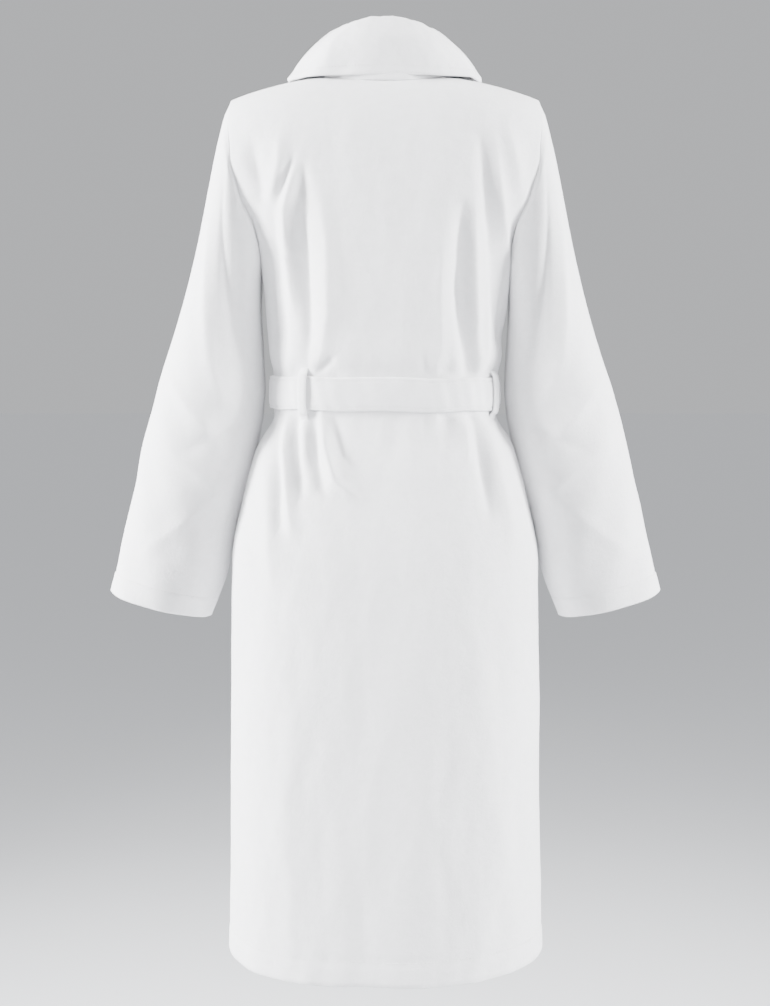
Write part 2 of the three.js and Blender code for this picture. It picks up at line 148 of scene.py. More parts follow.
# ---- the body's surface, as functions of arrays ----
def height_at(rise):
    share = np.sin(np.clip(rise / DOME_ARC, 0, 1) * QUARTER) ** (2 / DOME_POWER)
    return np.where(rise < 0, rise - DOME_HEIGHT, -DOME_HEIGHT * (1 - share))


def rise_at(height):
    share = np.clip(1 + height / DOME_HEIGHT, 0, 1)
    dome = np.arcsin(share ** (DOME_POWER / 2)) / QUARTER * DOME_ARC
    return np.where(height < -DOME_HEIGHT, height + DOME_HEIGHT, dome)


def depth_at(rise, face):
    height = height_at(rise)
    full = np.where(face > 0, back_depth(height), front_depth(height))
    share = np.clip(np.cos(np.clip(rise / DOME_ARC, 0, 1) * QUARTER), 0, 1)
    return full * share ** (2 / DOME_POWER)


def body_point(across, rise, face):
    """across is 0 on the centre line and 1 at the side, with x's sign; face is 1 at the back."""
    height = height_at(rise)
    turn = np.clip(np.abs(across), 0, 1) * QUARTER
    x = np.sign(across) * half_width(height) * np.sin(turn) ** (2 / SECTION_POWER)
    y = face * depth_at(rise, face) * np.clip(np.cos(turn), 0, 1) ** (2 / SECTION_POWER)
    along = np.clip((np.abs(x) - NECK_HALF) / (SHOULDER_HALF - NECK_HALF), 0, 1.3)
    z = height - SHOULDER_DROP * along**SHOULDER_ROUND * smooth(height, -0.170, 0)
    return np.stack(np.broadcast_arrays(x, y, z), axis=-1)


def body_normal(across, rise, face):
    step = 0.012
    a = np.clip(across, -1 + step, 1 - step)
    r = np.minimum(rise, DOME_ARC - 0.002)
    sideways = body_point(a + step, r, face) - body_point(a - step, r, face)
    upward = body_point(a, r + 0.002, face) - body_point(a, r - 0.002, face)
    normal = np.cross(sideways, upward)
    normal /= np.linalg.norm(normal, axis=-1, keepdims=True)
    flip = normal[..., 1] * face + normal[..., 2] * 0.2 < 0
    return np.where(flip[..., None], -normal, normal)


def across_at(x, height):
    share = np.clip(np.abs(x) / half_width(height), 0, 1)
    return np.sign(x) * np.arcsin(share ** (SECTION_POWER / 2)) / QUARTER


def side_edge(rise, face):
    """How far across the body a panel reaches before its side seam or armhole."""
    height = height_at(rise)
    lean = np.clip(1 + height / ARMHOLE_RADIUS, -1, 1)
    y = ARMHOLE_REACH * np.sqrt(1 - lean * lean)
    share = np.clip(y / np.maximum(depth_at(rise, face), 1e-6), 0, 1)
    edge = np.arccos(share ** (SECTION_POWER / 2)) / QUARTER
    return np.where(height <= -2 * ARMHOLE_RADIUS, 1.0, edge)


OVERLAP_SINK = 0.0075


def sink_at(x, height):
    """How far the under front runs below the over front."""
    edge = over_edge(height)
    under = 1 - smooth(x, edge + 0.001, edge + 0.030)
    return OVERLAP_SINK * under * (1 - smooth(height, -0.300, -0.225))


def front_point(side, x, height, lift):
    """A point on a front: side -1 is the wearer's right, the over front, and 1 the under front."""
    rise = rise_at(height)
    across = across_at(x, height)
    sink = sink_at(x, height) if side > 0 else 0 * x
    return body_point(across, rise, -1) + body_normal(across, rise, -1) * (lift - sink)[..., None]


# ---- meshes ----
def grid_normals(grid, wrap=False):
    if wrap:
        across = np.roll(grid, -1, axis=1) - np.roll(grid, 1, axis=1)
    else:
        across = np.gradient(grid, axis=1)
    normal = np.cross(across, np.gradient(grid, axis=0))
    length = np.linalg.norm(normal, axis=-1, keepdims=True)
    return normal / np.maximum(length, 1e-12)


def new_mesh(name, verts, faces, material):
    mesh = bpy.data.meshes.new(name)
    mesh.from_pydata(np.asarray(verts).tolist(), [], [list(map(int, face)) for face in faces])
    mesh.validate()
    mesh.polygons.foreach_set("use_smooth", [True] * len(mesh.polygons))
    mesh.materials.append(material)
    piece = bpy.data.objects.new(name, mesh)
    bpy.context.scene.collection.objects.link(piece)
    return piece


def quads(a, b):
    """Faces between two equal runs of vertex numbers."""
    return np.stack([a[:-1], a[1:], b[1:], b[:-1]], axis=-1)


RIM_SWELL = 0.4  # how far a sheet's rounded rim stands out, as a share of its thickness


def cloth(name, grid, thick, material, outward, wrap=False):
    """A sheet with thickness and rounded edges. grid is its outer face, rows by columns by 3, and
    outward(grid) points roughly away from the body at each of its points."""
    normal = grid_normals(grid, wrap)
    if np.sum(normal * outward(grid)) < 0:
        grid = grid[:, ::-1]
        normal = grid_normals(grid, wrap)
    rows, columns = grid.shape[:2]
    count = rows * columns
    inner = grid - normal * thick
    number = np.arange(count).reshape(rows, columns)
    if wrap:
        number = np.concatenate([number, number[:, :1]], axis=1)
    top = np.stack([number[:-1, :-1], number[:-1, 1:], number[1:, 1:], number[1:, :-1]], axis=-1)
    faces = [top.reshape(-1, 4), (top + count)[..., ::-1].reshape(-1, 4)]
    verts = [grid.reshape(-1, 3), inner.reshape(-1, 3)]
    # a rounded rim: one more run of vertices half-way down, pushed out a little
    if wrap:
        runs = [(number[edge][:-1], grid[edge], normal[edge], grid[edge] - grid[next_in])
                for edge, next_in in ((0, 1), (-1, -2))]
    else:
        loop = np.concatenate([number[0], number[1:, -1], number[-1, -2::-1], number[-2:0:-1, 0]])
        flat = grid.reshape(-1, 3)
        row, column = loop // columns, loop % columns
        in_row = np.clip(row, 1, rows - 2)
        in_column = np.clip(column, 1, columns - 2)
        away = grid[row, column] - grid[in_row, in_column]
        runs = [(loop, flat[loop], normal.reshape(-1, 3)[loop], away)]
    start = 2 * count
    for i, (run, place, up, away) in enumerate(runs):
        away = away / np.maximum(np.linalg.norm(away, axis=-1, keepdims=True), 1e-9)
        middle = place - up * thick / 2 + away * thick * RIM_SWELL
        verts.append(middle)
        mid = start + np.arange(len(run))
        start += len(run)
        closed = np.append(run, run[0])
        mid = np.append(mid, mid[0])
        first, second = quads(closed, mid), quads(mid, closed + count)
        if i == 0:
            first, second = first[:, ::-1], second[:, ::-1]
        faces += [first, second]
    return new_mesh(name, np.concatenate(verts), np.concatenate(faces), material)


def outward_normals(grid, outward, wrap=False):
    normal = grid_normals(grid, wrap)
    return -normal if np.sum(normal * outward(grid)) < 0 else normal


def from_axis(grid):
    """Away from the body's vertical axis."""
    out = grid.copy()
    out[..., 2] = 0.02
    return out


def from_core(grid):
    """Away from the middle of each of a tube's rings."""
    return grid - grid.mean(axis=1, keepdims=True)


# ---- folds ----
POCKET_HALF = 0.040
POCKET_X = 0.130
POCKET_TOP = -0.520
POCKET_FOOT = -0.690
POCKET_BAND = 0.026
POCKET_BAND_FOOT = 1 - POCKET_BAND / (POCKET_TOP - POCKET_FOOT)  # share of it below the band


def ridge(x, z, path, width, height):
    """A fold along a path of (x, z) points: a soft ridge, or a valley if height is negative."""
    best = np.full(x.shape, np.inf)
    fade = np.zeros(x.shape)
    points = np.array(path)
    lengths = np.linalg.norm(np.diff(points, axis=0), axis=1)
    total, done = lengths.sum(), 0.0
    for a, b, length in zip(points[:-1], points[1:], lengths):
        along = ((x - a[0]) * (b[0] - a[0]) + (z - a[1]) * (b[1] - a[1])) / length**2
        t = np.clip(along, 0, 1)
        far = np.hypot(x - lerp(a[0], b[0], t), z - lerp(a[1], b[1], t))
        share = (done + t * length) / total
        nearer = far < best
        best = np.where(nearer, far, best)
        fade = np.where(nearer, np.sin(np.pi * np.clip(share * 0.9 + 0.05, 0, 1)) ** 0.7, fade)
        done += length
    return height * fade * np.exp(-((best / width) ** 1.6))


def ripples(x, z, seed, wide, tall):
    """Slow uneven swells, wide and tall in metres, of about unit height."""
    total = np.zeros(np.broadcast(x, z).shape)
    random = np.random.default_rng(seed)
    for octave in range(5):
        scale = 1.55**octave
        turn = random.uniform(-0.35, 0.35)
        phase, tilt = random.uniform(0, 6.28), random.uniform(0, 6.28)
        u = (x * math.cos(turn) + z * math.sin(turn) * wide / tall) / wide * scale
        v = z / tall * scale
        total += np.sin(6.28 * u + phase + 1.3 * np.sin(6.28 * v + tilt)) / scale
    return total / 2


def gathers(x, z, seed, count_per_m, reach):
    """Pleats that start at the belt and die out over reach, above and below it."""
    random = np.random.default_rng(seed)
    off = np.maximum(np.abs(z - BELT_Z) - BELT_HALF, 0)
    drift = 0.006 * np.sin(40 * x + random.uniform(0, 6)) + 0.10 * x * off
    wave = np.sin(2 * np.pi * count_per_m * (x + drift) + random.uniform(0, 6))
    second = np.sin(2 * np.pi * count_per_m * 0.61 * (x - drift) + random.uniform(0, 6))
    height = smooth(off, 0, 0.012) * np.exp(-off / reach)
    uneven = 0.55 + 0.45 * np.sin(23 * x + random.uniform(0, 6))
    return (0.65 * wave + 0.5 * second) * height * uneven


def blouse(z):
    """The cloth pouches over the belt and springs out below it."""
    above = np.exp(-(((z - BELT_Z - BELT_HALF - 0.022) / 0.020) ** 2))
    below = np.exp(-(((z - BELT_Z + BELT_HALF + 0.020) / 0.016) ** 2))
    return 0.0050 * above + 0.0008 * below


def hem_line(z):
    """The stitch line of the turned hem: a fine groove, with the double cloth below it fuller."""
    line = HEM_Z + HEM_TURN
    groove = -GROOVE * np.exp(-(((z - line) / 0.0016) ** 2))
    return groove + 0.0009 * (1 - smooth(z, line - 0.004, line))


BACK_FOLDS = [  # (x, z) points along a fold, its half width, and its height
    ([(0.165, -0.085), (0.156, -0.130), (0.150, -0.175)], 0.013, -0.0060),
    ([(0.126, -0.080), (0.128, -0.120), (0.141, -0.165)], 0.009, 0.0045),
    ([(0.113, -0.112), (0.131, -0.165)], 0.006, -0.0060),
    ([(0.110, -0.125), (0.121, -0.172), (0.119, -0.215), (0.113, -0.290)], 0.008, 0.0075),
    ([(0.136, -0.180), (0.136, -0.260), (0.128, -0.362)], 0.011, -0.0070),
    ([(0.098, -0.120), (0.100, -0.200), (0.093, -0.290), (0.092, -0.368)], 0.009, -0.0085),
    ([(0.078, -0.150), (0.068, -0.230), (0.068, -0.300), (0.080, -0.368)], 0.012, 0.0065),
    ([(0.060, -0.350), (0.082, -0.372)], 0.006, -0.0045),
    ([(-0.068, -0.200), (-0.066, -0.290), (-0.070, -0.360)], 0.010, 0.0040),
    ([(-0.093, -0.170), (-0.088, -0.270), (-0.098, -0.370)], 0.008, -0.0085),
    ([(-0.108, -0.170), (-0.108, -0.270), (-0.111, -0.372)], 0.008, 0.0080),
    ([(-0.116, -0.090), (-0.125, -0.165), (-0.134, -0.240), (-0.138, -0.330)], 0.008, -0.0080),
    ([(-0.131, -0.088), (-0.142, -0.165), (-0.150, -0.240), (-0.148, -0.310)], 0.007, 0.0060),
    ([(-0.124, -0.260), (-0.122, -0.360)], 0.007, 0.0050),
    ([(-0.150, -0.070), (-0.160, -0.120), (-0.168, -0.160)], 0.010, 0.0040),
    ([(0.120, -0.428), (0.122, -0.470), (0.117, -0.510), (0.112, -0.560)], 0.007, 0.0080),
    ([(0.108, -0.424), (0.106, -0.470), (0.100, -0.520)], 0.006, -0.0050),
    ([(0.132, -0.440), (0.128, -0.500), (0.126, -0.560)], 0.006, -0.0060),
    ([(0.145, -0.470), (0.140, -0.530), (0.138, -0.620)], 0.013, 0.0055),
    ([(0.098, -0.424), (0.099, -0.485)], 0.007, 0.0045),
    ([(0.077, -0.422), (0.071, -0.466), (0.060, -0.500), (0.036, -0.520)], 0.007, 0.0080),
    ([(0.086, -0.422), (0.082, -0.480), (0.072, -0.520)], 0.007, -0.0060),
    ([(0.062, -0.424), (0.050, -0.470), (0.032, -0.492)], 0.009, -0.0045),
    ([(-0.096, -0.424), (-0.100, -0.480)], 0.007, 0.0055),
    ([(-0.107, -0.422), (-0.118, -0.485), (-0.126, -0.540)], 0.007, -0.0075),
    ([(-0.120, -0.424), (-0.136, -0.490), (-0.158, -0.590)], 0.014, 0.0075),
    ([(-0.030, -0.424), (-0.030, -0.480)], 0.010, 0.0020),
    ([(0.004, -0.424), (0.005, -0.470)], 0.008, 0.0018),
]

FRONT_FOLDS = [
    ([(0.125, -0.090), (0.120, -0.200), (0.108, -0.365)], 0.011, 0.0055),
    ([(0.145, -0.130), (0.136, -0.250), (0.124, -0.365)], 0.010, -0.0050),
    ([(0.092, -0.300), (0.088, -0.370)], 0.007, -0.0045),
    ([(0.100, -0.422), (0.112, -0.480), (0.118, -0.560)], 0.012, 0.0050),
    ([(0.070, -0.422), (0.078, -0.500), (0.084, -0.600)], 0.012, -0.0040),
    ([(0.040, -0.422), (0.046, -0.520), (0.052, -0.680)], 0.016, 0.0040),
]


def skirt_swell(x, z, seed):
    """Long soft vertical swells that grow towards the hem."""
    grow = smooth(-z, 0.46, 1.05)
    return (0.0008 + 0.0024 * grow) * ripples(x, z, seed, 0.190, 1.2)


def back_relief(x, z):
    lift = 1.15 * sum(ridge(x, z, path, width, height) for path, width, height in BACK_FOLDS)
    lift = lift + (0.0016 + 0.0022 * smooth(np.abs(x), 0.03, 0.10)) * gathers(x, z, 3, 46, 0.028)
    lift = lift + blouse(z) + skirt_swell(x, z, 11)
    return lift + 0.0009 * ripples(x, z, 7, 0.090, 0.26) + hem_line(z)


def front_relief(side, x, z):
    mirrored = side * x
    off = np.abs(mirrored - POCKET_X)
    # a pocket holds the cloth behind it smooth
    under = smooth(off, POCKET_HALF + 0.012, POCKET_HALF) * smooth(z, POCKET_FOOT - 0.02, POCKET_FOOT)
    flat = 1 - 0.9 * under * smooth(z, POCKET_TOP + 0.02, POCKET_TOP)
    lift = 1.4 * sum(ridge(mirrored, z, path, width, height) for path, width, height in FRONT_FOLDS)
    lift = lift + 0.0036 * gathers(x, z, 20 + side, 36, 0.045)
    lift = (lift + blouse(z) * smooth(z, -0.9, -0.4) + skirt_swell(x, z, 30 + side)) * flat
    return lift + 0.0010 * ripples(x, z, 40 + side, 0.070, 0.30) + hem_line(z)


# ---- materials ----
def add_node(tree, kind, **inputs):
    node = tree.nodes.new(kind)
    for name, value in inputs.items():
        node.inputs[name].default_value = value
    return node


def cloth_material(name, tone, pile, rib=0.0, sheen=0.35, roughness=0.95):
    """White cotton: a slow change of tone, a fine pile, and a rib for woven tapes."""
    material = bpy.data.materials.new(name)
    material.use_nodes = True
    tree = material.node_tree
    shader = tree.nodes["Principled BSDF"]
    shader.inputs["Roughness"].default_value = roughness
    shader.inputs["Sheen Weight"].default_value = sheen
    shader.inputs["Sheen Roughness"].default_value = 0.55
    shader.inputs["Specular IOR Level"].default_value = 0.18
    shader.inputs["Subsurface Weight"].default_value = 0.0
    place = tree.nodes.new("ShaderNodeTexCoord").outputs["Object"]

    mottle = add_node(tree, "ShaderNodeTexNoise", Scale=95.0, Detail=5.0, Roughness=0.62)
    tree.links.new(place, mottle.inputs["Vector"])
    ramp = tree.nodes.new("ShaderNodeValToRGB")
    ramp.color_ramp.elements[0].position = 0.30
    ramp.color_ramp.elements[1].position = 0.68
    ramp.color_ramp.elements[0].color = (*[channel * 0.945 for channel in tone], 1)
    ramp.color_ramp.elements[1].color = (*tone, 1)
    tree.links.new(mottle.outputs["Fac"], ramp.inputs["Fac"])
    tree.links.new(ramp.outputs["Color"], shader.inputs["Base Color"])

    def bump(texture, strength, distance, under=None):
        node = add_node(tree, "ShaderNodeBump", Strength=strength, Distance=distance)
        tree.links.new(place, texture.inputs["Vector"])
        tree.links.new(texture.outputs["Fac"], node.inputs["Height"])
        if under:
            tree.links.new(under.outputs["Normal"], node.inputs["Normal"])
        return node

    fine = add_node(tree, "ShaderNodeTexNoise", Scale=1500.0, Detail=2.0, Roughness=0.6)
    nap = add_node(tree, "ShaderNodeTexNoise", Scale=210.0, Detail=4.0, Roughness=0.6)
    last = bump(nap, 0.5, pile * 1.6, bump(fine, 0.55, pile))
    if rib:
        wave = add_node(tree, "ShaderNodeTexWave", Scale=rib, Distortion=0.4)
        wave.bands_direction = "DIAGONAL"
        last = bump(wave, 0.5, 0.0003, last)
    tree.links.new(last.outputs["Normal"], shader.inputs["Normal"])
    return material


VELOUR = cloth_material("velour", (0.88, 0.88, 0.895), 0.0007)
TRIM = cloth_material("trim_velour", (0.885, 0.885, 0.90), 0.0006)
BELT_CLOTH = cloth_material("belt_velour", (0.88, 0.88, 0.895), 0.0005)
THREAD = cloth_material("thread", (0.86, 0.86, 0.87), 0.0001, rib=900.0, sheen=0.2, roughness=0.7)
TAPE = cloth_material("cotton_tape", (0.84, 0.84, 0.845), 0.0001, rib=420.0, sheen=0.1,
                      roughness=0.85)
LABEL = cloth_material("label_tape", (0.88, 0.88, 0.90), 0.00005, rib=700.0, sheen=0.1,
                       roughness=0.5)


def keep(piece, body, *nodes, slot="robe_cloth"):
    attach(piece, body)
    if nodes:
        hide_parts(*nodes)
    return piece


# ---- stitches ----
STITCH_PITCH = 0.0042
STITCH_LENGTH = 0.0028
STITCH_RADIUS = 0.00042
STITCH_LIFT = 0.0002  # above the cloth's face


def at_places(places, at, points):
    return np.stack([np.interp(places, at, points[:, k]) for k in range(3)], axis=1)


def stitches(name, lines, ups, body, slot="trim_cloth"):
    """Rows of short threads along each line of points; ups are the cloth's normals there."""
    ring = [(math.cos(a), math.sin(a)) for a in np.linspace(0, 2 * math.pi, 6, endpoint=False)]
    verts, faces = [], []
    for line, up in zip(lines, ups):
        step = np.linalg.norm(np.diff(line, axis=0), axis=1)
        at = np.concatenate([[0], np.cumsum(step)])
        places = np.arange(STITCH_PITCH, at[-1] - STITCH_PITCH, STITCH_PITCH)
        middle, ahead = at_places(places, at, line), at_places(places + 0.001, at, line)
        for m, a, n in zip(middle, ahead, at_places(places, at, up)):
            along = (a - m) / max(np.linalg.norm(a - m), 1e-9)
            n = n / max(np.linalg.norm(n), 1e-9)
            side = np.cross(along, n)
            base = len(verts)
            for share, thick in ((-0.5, 0.35), (-0.25, 1.0), (0.25, 1.0), (0.5, 0.35)):
                centre = m + along * share * STITCH_LENGTH
                for c, s in ring:
                    verts.append(centre + (side * c + n * s * 0.8) * STITCH_RADIUS * thick)
            for k in range(3):
                for j in range(6):
                    a0, a1 = base + 6 * k + j, base + 6 * k + (j + 1) % 6
                    faces.append((a0, a1, a1 + 6, a0 + 6))
            faces.append(tuple(base + j for j in reversed(range(6))))
            faces.append(tuple(base + 18 + j for j in range(6)))
    return keep(new_mesh(name, verts, faces, THREAD), body, slot=slot)


# ---- back ----
def panel_levels():
    """Heights of a panel's level rows, from the hem to the foot of the shoulder dome."""
    runs = ((HEM_Z, -0.56, 96), (-0.56, -0.34, 84), (-0.34, -DOME_HEIGHT, 60))
    return np.concatenate([np.linspace(low, high, count, endpoint=False) for low, high, count in runs])


def panel_rises(tops, dome_rows=34):
    """Rise of each row and column: level below the dome, scaled to each column's top above it."""
    levels = panel_levels() + DOME_HEIGHT
    below = np.repeat(levels[:, None], len(tops), axis=1)
    share = np.linspace(0, 1, dome_rows)[:, None]
    return np.concatenate([below, share * tops[None, :]])


RIDGE_RISE = DOME_ARC - 0.0004


def back_grid(columns=190):
    side = np.linspace(-1, 1, columns)
    neck_across = across_at(np.array(NECK_HALF), np.array(0.0))
    top_across = side * side_edge(np.array(RIDGE_RISE), 1)
    in_neck = np.clip(1 - (top_across / neck_across) ** 2, 0, None)
    tops = RIDGE_RISE * (1 - NECK_DROP * np.sqrt(in_neck))
    rise = panel_rises(tops)
    across = side[None, :] * side_edge(rise, 1) * SEAM_SHARE
    flat = body_point(across, rise, 1)
    quiet = 1 - smooth(rise, 0.0, 0.10)
    lift = back_relief(flat[..., 0], flat[..., 2]) * quiet
    edge = 1 - smooth(np.abs(side)[None, :] + 0 * rise, 0.93, 1.0)
    lift = lift * (0.15 + 0.85 * edge)
    return flat + body_normal(across, rise, 1) * lift[..., None]


def row_near(grid, z):
    """Number of the row whose middle height is nearest to z."""
    return int(np.argmin(np.abs(grid[:, grid.shape[1] // 2, 2] - z)))


def stitch_row(grid, row):
    normal = outward_normals(grid, from_axis)
    return grid[row] + normal[row] * STITCH_LIFT, normal[row]


def hem_fold(name, grid, node):
    """The turned-up inner layer of a hem, just inside its panel."""
    top = row_near(grid, HEM_Z + HEM_TURN)
    normal = outward_normals(grid, from_axis)
    inside = grid[: top + 1] - normal[: top + 1] * (CLOTH + FOLD_GAP)
    piece = keep(cloth(name, inside, CLOTH * FOLD_SHARE, TRIM, from_axis), "garment", node,
                 slot="trim_cloth")


back = back_grid()
piece = keep(cloth("back_panel_cloth", back, CLOTH, VELOUR, from_axis), "garment", "back_panel")
hem_fold("back_hem_fold", back, "back_hem")


# ---- fronts ----
def front_grid(side, columns=120):
    share = np.linspace(0, 1, columns)
    rise = panel_rises(np.full(columns, RIDGE_RISE))
    height = height_at(rise)
    seam = side * side_edge(rise, -1) * SEAM_SHARE
    edge = across_at(-side * over_edge(height), height)
    across = lerp(seam, edge, share[None, :])
    flat = body_point(across, rise, -1)
    x = flat[..., 0]
    quiet = 1 - smooth(rise, 0.0, 0.10)
    lift = front_relief(side, x, flat[..., 2]) * quiet
    lift = lift * (0.15 + 0.85 * smooth(share[None, :] + 0 * rise, 0.0, 0.07))
    sink = sink_at(x, height) if side > 0 else 0 * x
    under = smooth(sink, 0.0, OVERLAP_SINK)
    lift = lift * (1 - 0.8 * under) - sink
    return flat + body_normal(across, rise, -1) * lift[..., None]


FRONTS = {side: front_grid(side) for side, _ in SIDES}
for side, name in SIDES:
    grid = FRONTS[side]
    piece = keep(cloth(f"{name}_front_cloth", grid, CLOTH, VELOUR, from_axis), "garment",
                 f"{name}_front_panel")
    hem_fold(f"{name}_front_hem_fold", grid, f"{name}_front_hem")

hem_lines, hem_ups = zip(*[stitch_row(grid, row_near(grid, HEM_Z + HEM_TURN))
                           for grid in (back, FRONTS[-1], FRONTS[1])])
stitches("hem_stitches", hem_lines, hem_ups, "garment")


# ---- shawl collar: one folded sheet from one lapel's foot, round the neck, to the other's ----
SEAM_RING = (0.074, 0.060)  # half width and half depth of the collar's rings round the neck
STAND_RING = (0.060, 0.053)
ROLL_RING = (0.058, 0.052)
SWELL_RING = (0.096, 0.074)
FALL_RING = (0.124, 0.066)
SHOULDER_BREADTH = 0.215
COLLAR_TURNS = np.radians([0, 20, 40, 60, 80, 98])
LAPEL_HEIGHTS = np.array([-0.070, -0.100, -0.140, -0.185, -0.230, -0.275, -0.320, -0.360, -0.395])


def ring_point(size, turn, z):
    return np.array([size[0] * math.sin(turn), size[1] * math.cos(turn), z])


def shoulder_top(x, y):
    """Height of the shoulders' surface above points in plan."""
    out = np.clip(np.abs(x) / SHOULDER_BREADTH, 0, 0.99)
    breadth = (1 - out**SECTION_POWER) ** (1 / SECTION_POWER)
    height = -0.02 + 0 * x
    for _ in range(3):
        full = np.where(y >= 0, back_depth(height), front_depth(height))
        share = np.clip(np.abs(y) / (full * breadth), 0, 1)
        height = -DOME_HEIGHT * (1 - (1 - share**DOME_POWER) ** (1 / DOME_POWER))
    along = np.clip((np.abs(x) - NECK_HALF) / (SHOULDER_HALF - NECK_HALF), 0, 1.3)
    return height - SHOULDER_DROP * along**SHOULDER_ROUND * smooth(height, -0.170, 0)


def collar_station(side, turn):
    """Five guide points across the collar: seam, stand, roll, swell of the fall, and its edge."""
    forward = max(0.0, -math.cos(turn))
    dip = math.sin(turn) ** 2
    seam = ring_point(SEAM_RING, side * turn, -0.010 + 0.004 * dip)
    stand = ring_point(STAND_RING, side * turn, 0.032 - 0.004 * dip)
    roll = ring_point(ROLL_RING, side * turn, 0.070 - 0.009 * dip - 0.05 * forward)
    swell = ring_point(SWELL_RING, side * turn, 0.040 - 0.006 * dip - 0.03 * forward)
    edge = ring_point(FALL_RING, side * turn, 0.0)
    resting = float(shoulder_top(edge[0], edge[1])) + 0.0050
    edge[2] = lerp(-0.0035, resting, float(smooth(turn, 0.70, 1.08)))
    return np.stack([seam, stand, roll, swell, edge])


def lapel_station(side, height):
    """The same five points on a front, where the collar has become a lapel."""
    at = np.array(height)
    roll = float(-side * over_edge(at))
    wide = float(lapel_width(at))
    soft = float(smooth(at, -0.385, -0.20))
    places = (
        (roll, -0.0035 - 0.002 * soft),
        (roll - side * 0.008, -0.0015),
        (roll - side * 0.004, 0.0042 + 0.004 * soft),
        (roll + side * wide * 0.45, 0.0062 + 0.009 * soft),
        (roll + side * wide, 0.0042 + 0.003 * soft),
    )
    return np.stack([front_point(side, np.array(x), at, np.array(lift)) for x, lift in places])


def catmull(points, spans):
    """A smooth run through points along the first axis, with `spans` steps between each pair."""
    ends = np.concatenate([2 * points[:1] - points[1:2], points, 2 * points[-1:] - points[-2:-1]])
    rows = []
    for i in range(len(points) - 1):
        a, b, c, d = ends[i : i + 4]
        for t in np.arange(spans) / spans:
            rows.append(0.5 * (2 * b + (c - a) * t + (2 * a - 5 * b + 4 * c - d) * t * t
                               + (3 * b - a - 3 * c + d) * t**3))
    return np.stack(rows + [points[-1]])


FALL_COLUMNS = 12  # the collar's last columns, which are all on its fall and its lapels


def off_the_neck(grid):
    out = np.zeros_like(grid)
    out[:, -FALL_COLUMNS:] = (grid - np.array([0.0, 0.0, 0.02]))[:, -FALL_COLUMNS:]
    return out


def collar_grid():
    right = [lapel_station(-1, h) for h in LAPEL_HEIGHTS[::-1]]
    right += [collar_station(-1, t) for t in COLLAR_TURNS[:0:-1]]
    left = [collar_station(1, t) for t in COLLAR_TURNS]
    left += [lapel_station(1, h) for h in LAPEL_HEIGHTS]
    guides = catmull(np.stack(right + left), 12)
    across = catmull(np.moveaxis(guides, 1, 0), 9)
    grid = np.moveaxis(across, 0, 1)
    place = np.linspace(0, 1, grid.shape[0])[:, None]
    share = np.linspace(0, 1, grid.shape[1])[None, :]
    fallen = smooth(share, 0.55, 1.0)
    wave = 0.0022 * np.sin(46 * place + 1.0) + 0.0014 * np.sin(97 * place + 2.0)
    neck = smooth(np.abs(place - 0.5), 0.22, 0.12)
    lift = wave * fallen * (0.35 + 0.65 * neck)
    lift = lift + 0.0008 * ripples(place * 1.6, share * 0.2, 5, 0.09, 0.1)
    lift = lift - 0.0010 * np.exp(-(((share - 0.955) / 0.012) ** 2))
    grid = grid + outward_normals(grid, off_the_neck) * lift[..., None]
    # the fall and the lapels lie on the shoulders and don't sink into them
    lowest = shoulder_top(grid[..., 0], grid[..., 1]) + DOUBLE + 0.0006
    over = grid[..., 2] - lowest
    lifted = lowest + 0.5 * (over + np.sqrt(over**2 + 0.003**2))
    on_dome = smooth(share, 0.45, 0.62) * smooth(lowest, -0.092, -0.070)
    on_dome = on_dome * smooth(grid[..., 2], -0.115, -0.085)
    grid[..., 2] = lerp(grid[..., 2], lifted, on_dome)
    return grid


collar = collar_grid()


def off_the_fall(grid):
    """Outward for the collar: judged on its fall, because its stand faces the neck."""
    out = np.zeros_like(grid)
    out[:, -FALL_COLUMNS:] = grid[:, -FALL_COLUMNS:]
    out[:, -FALL_COLUMNS:, 2] = 0.05
    return out


piece = keep(cloth("shawl_collar", collar, DOUBLE, TRIM, off_the_fall), "garment",
             "collar_stand", "collar_fall", "right_lapel", "left_lapel", slot="trim_cloth")


def collar_stitches():
    normal = outward_normals(collar, off_the_fall)
    line = (slice(10, collar.shape[0] - 10), collar.shape[1] - 3)
    stitches("collar_stitches", [collar[line] + normal[line] * STITCH_LIFT], [normal[line]],
             "garment")


collar_stitches()

# ---- sleeves ----
SLEEVE_TILT = math.radians(14)
SLEEVE_TOP_Z = -0.262
CUFF_Z = -0.665
sleeve_centre = through(
    (0, 0.199), (0.14, 0.205), (0.30, 0.2165), (0.39, 0.2245), (0.53, 0.2375), (0.705, 0.2548),
    (0.846, 0.267), (1, 0.286))
sleeve_half = through(
    (0, 0.052), (0.14, 0.056), (0.30, 0.066), (0.39, 0.0700), (0.53, 0.0712), (0.705, 0.0697),
    (0.846, 0.0700), (1, 0.066))
sleeve_depth = through((0, 0.082), (0.30, 0.080), (0.60, 0.070), (1, 0.058))
SLEEVE_RUN = 0.415  # length of sleeve that one unit of its share stands for, near the cuff
CUFF_LINE = 1 - CUFF_TURN / SLEEVE_RUN  # the share at which the cuff is stitched
SLEEVE_BEND = 0.014  # how far the cuff hangs forward of the shoulder
SLEEVE_RADIUS = 0.075  # a fold's turn and share become lengths with these two
SLEEVE_LENGTH = 0.42
RING_SLIDE = 0.224  # how far the armhole's ring would slide down the arm by the cuff


def armhole(turn, side):
    """The armhole's edge: turn 0 is on the shoulder, a half turn is the underarm."""
    height = -ARMHOLE_RADIUS * (1 - np.cos(turn))
    face = np.where(np.sin(turn) >= 0, 1, -1)
    rise = np.minimum(rise_at(height), RIDGE_RISE)
    across = side * np.clip(side_edge(rise, face), 0, 1)
    return body_point(across, rise, face), body_normal(across, rise, face)


